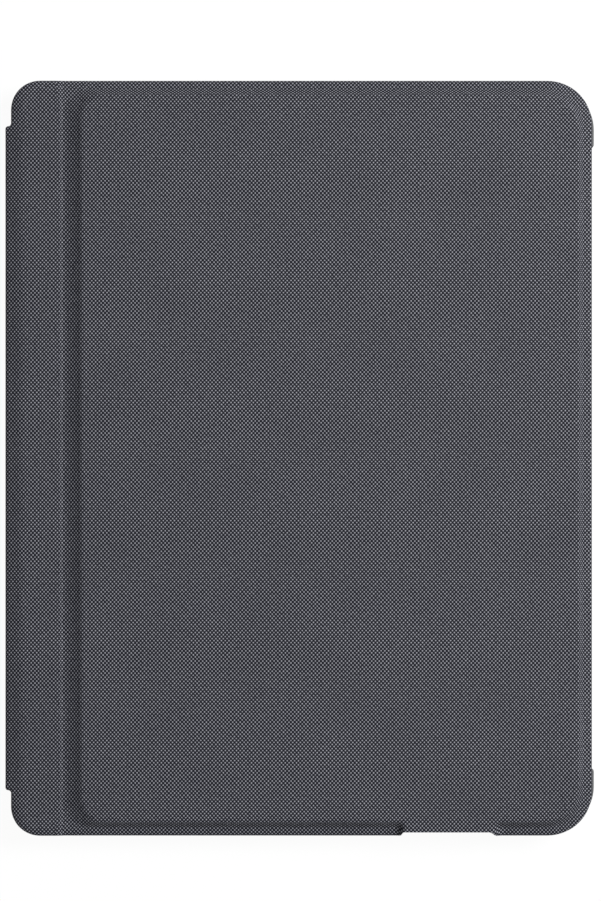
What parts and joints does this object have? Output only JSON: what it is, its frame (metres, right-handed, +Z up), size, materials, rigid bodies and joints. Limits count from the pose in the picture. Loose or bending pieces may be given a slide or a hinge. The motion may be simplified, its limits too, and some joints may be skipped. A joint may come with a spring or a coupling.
{
  "type": "tablet keyboard case",
  "caption": "Closed folio case for a large tablet: woven fabric keyboard cover with a folding spine, a bumper-edged shell with a kickstand, pressing keys and a clicking trackpad.",
  "frame": {"origin": "middle of the closed case, on the surface that its back lies on", "axes": "+Y along the spine, +Z up out of the keyboard cover, -X towards the spine"},
  "size_m": [0.2262, 0.29, 0.0174],
  "materials": {
    "woven_fabric": "plain-weave charcoal polyester with light grey specks",
    "microfibre": "short-nap dark grey microfibre",
    "bumper_rubber": "matte grey soft-touch elastomer",
    "shell_plastic": "fine-textured dark grey moulding",
    "stiffener_board": "plain sheet",
    "stand_aluminium": "bead-blasted",
    "hinge_steel": "fine brushed",
    "foot_rubber": "matte black",
    "key_plastic": "fine matte with pale legends",
    "dome_rubber": "translucent silicone grey",
    "membrane_film": "printed film",
    "trackpad_face": "satin coated glass",
    "circuit_board": "solder mask",
    "cell_pouch": "pouch foil",
    "light_pipe": "clear moulded"
  },
  "bodies": {
    "shell": {"shell_back": "shell_plastic", "bumper_frame": "bumper_rubber", "pocket_lining": "microfibre", "upper_back_fabric": "woven_fabric", "anchor_flap_fabric": "woven_fabric", "anchor_bar": "stiffener_board", "hinge_brackets": "hinge_steel", "hinge_pins": "hinge_steel"},
    "kickstand": {"kickstand_plate": "stand_aluminium", "kickstand_fabric": "woven_fabric", "kickstand_foot": "foot_rubber", "hinge_leaves": "hinge_steel"},
    "power_button": {"power_button": "bumper_rubber"},
    "spine": {"spine_fabric": "woven_fabric", "spine_board": "stiffener_board", "spine_lining": "microfibre"},
    "hinge_strip": {"strip_fabric": "woven_fabric", "strip_board": "stiffener_board", "strip_lining": "microfibre"},
    "keyboard_deck": {"deck_fabric": "woven_fabric", "deck_lining": "microfibre", "deck_tray": "shell_plastic", "key_frame": "shell_plastic", "key_backplate": "stand_aluminium", "membrane": "membrane_film", "function_supports": "dome_rubber", "number_supports": "dome_rubber", "upper_letter_supports": "dome_rubber", "home_supports": "dome_rubber", "lower_letter_supports": "dome_rubber", "modifier_supports": "dome_rubber", "space_supports": "dome_rubber", "arrow_supports": "dome_rubber", "battery_cells": "cell_pouch", "main_board": "circuit_board", "usb_c_socket": "hinge_steel", "status_light": "light_pipe", "closure_magnets": "hinge_steel", "deck_screws": "hinge_steel", "screen_pads": "foot_rubber", "trackpad_springs": "hinge_steel", "click_switch": "hinge_steel", "flex_cable": "membrane_film"},
    "trackpad": {"trackpad_surface": "trackpad_face", "trackpad_board": "circuit_board"},
    "power_switch": {"power_switch": "shell_plastic"},
    "function_keys": {"function_keys": "key_plastic"},
    "number_keys": {"number_keys": "key_plastic"},
    "upper_letter_keys": {"upper_letter_keys": "key_plastic"},
    "home_keys": {"home_keys": "key_plastic"},
    "lower_letter_keys": {"lower_letter_keys": "key_plastic"},
    "modifier_keys": {"modifier_keys": "key_plastic"},
    "space_bar": {"space_bar": "key_plastic"},
    "arrow_keys": {"arrow_keys": "key_plastic"}
  },
  "joints": [
    {"name": "spine_fold", "type": "hinge", "parent": "shell", "child": "spine", "pos_m": [-0.1131, 0, 0.0038], "axis": [0, -1, 0], "range_deg": [0, 90]},
    {"name": "cover_fold", "type": "hinge", "parent": "spine", "child": "hinge_strip", "pos_m": [-0.1131, 0, 0.0136], "axis": [0, -1, 0], "range_deg": [0, 90]},
    {"name": "deck_fold", "type": "hinge", "parent": "hinge_strip", "child": "keyboard_deck", "pos_m": [-0.0912, 0, 0.0144], "axis": [0, -1, 0], "range_deg": [0, 90]},
    {"name": "kickstand_swing", "type": "hinge", "parent": "shell", "child": "kickstand", "pos_m": [0.0034, 0, 0.0015], "axis": [0, -1, 0], "range_deg": [0, 65]},
    {"name": "power_button_press", "type": "slide", "parent": "shell", "child": "power_button", "axis": [0, -1, 0], "range_m": [0, 0.0005], "stiffness_N_per_m": 300, "springref_m": -0.0005},
    {"name": "trackpad_click", "type": "slide", "parent": "keyboard_deck", "child": "trackpad", "axis": [0, 0, 1], "range_m": [0, 0.0003], "stiffness_N_per_m": 2000, "springref_m": -0.0005},
    {"name": "power_switch_slide", "type": "slide", "parent": "keyboard_deck", "child": "power_switch", "axis": [1, 0, 0], "range_m": [0, 0.002]},
    {"name": "function_keys_press", "type": "slide", "parent": "keyboard_deck", "child": "function_keys", "axis": [0, 0, 1], "range_m": [0, 0.001], "stiffness_N_per_m": 300, "springref_m": -0.001, "deforming": ["function_supports"]},
    {"name": "number_keys_press", "type": "slide", "parent": "keyboard_deck", "child": "number_keys", "axis": [0, 0, 1], "range_m": [0, 0.001], "stiffness_N_per_m": 300, "springref_m": -0.001, "deforming": ["number_supports"]},
    {"name": "upper_letter_keys_press", "type": "slide", "parent": "keyboard_deck", "child": "upper_letter_keys", "axis": [0, 0, 1], "range_m": [0, 0.001], "stiffness_N_per_m": 300, "springref_m": -0.001, "deforming": ["upper_letter_supports"]},
    {"name": "home_keys_press", "type": "slide", "parent": "keyboard_deck", "child": "home_keys", "axis": [0, 0, 1], "range_m": [0, 0.001], "stiffness_N_per_m": 300, "springref_m": -0.001, "deforming": ["home_supports"]},
    {"name": "lower_letter_keys_press", "type": "slide", "parent": "keyboard_deck", "child": "lower_letter_keys", "axis": [0, 0, 1], "range_m": [0, 0.001], "stiffness_N_per_m": 300, "springref_m": -0.001, "deforming": ["lower_letter_supports"]},
    {"name": "modifier_keys_press", "type": "slide", "parent": "keyboard_deck", "child": "modifier_keys", "axis": [0, 0, 1], "range_m": [0, 0.001], "stiffness_N_per_m": 300, "springref_m": -0.001, "deforming": ["modifier_supports"]},
    {"name": "space_bar_press", "type": "slide", "parent": "keyboard_deck", "child": "space_bar", "axis": [0, 0, 1], "range_m": [0, 0.001], "stiffness_N_per_m": 300, "springref_m": -0.001, "deforming": ["space_supports"]},
    {"name": "arrow_keys_press", "type": "slide", "parent": "keyboard_deck", "child": "arrow_keys", "axis": [0, 0, 1], "range_m": [0, 0.001], "stiffness_N_per_m": 300, "springref_m": -0.001, "deforming": ["arrow_supports"]}
  ]
}
